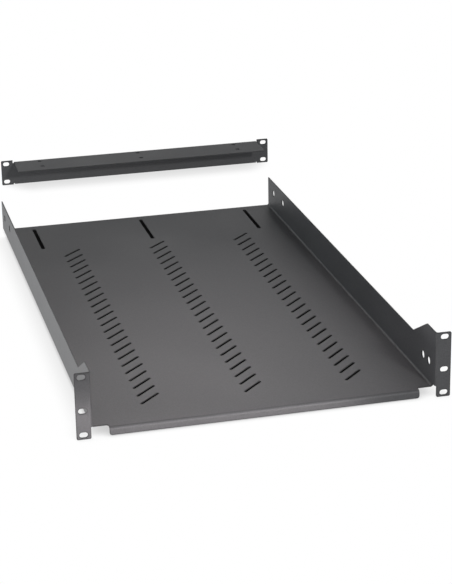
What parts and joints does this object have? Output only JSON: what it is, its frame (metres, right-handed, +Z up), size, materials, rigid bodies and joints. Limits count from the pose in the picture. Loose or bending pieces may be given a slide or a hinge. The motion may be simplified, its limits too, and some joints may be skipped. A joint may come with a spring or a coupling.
{
  "type": "four post rack shelf",
  "caption": "Deep folded steel tray with slanted air slots, low side walls, front rack ears and a front lip, with a separate L-shaped rear support bar.",
  "frame": {"origin": "centre of the four corner slots of the tray's front ears, on the ears' rear faces, which bear on the front posts", "axes": "+X to the right seen from the front, +Y from the front ears to the rear of the tray, +Z up"},
  "size_m": [0.5376, 1.0815, 0.0882],
  "materials": {
    "tray_coat": "semi-matt dark grey powder coat",
    "bar_coat": "semi-matt dark grey powder coat"
  },
  "bodies": {
    "root": {"shelf_tray": "tray_coat", "rear_support_bar": "bar_coat"}
  },
  "joints": []
}
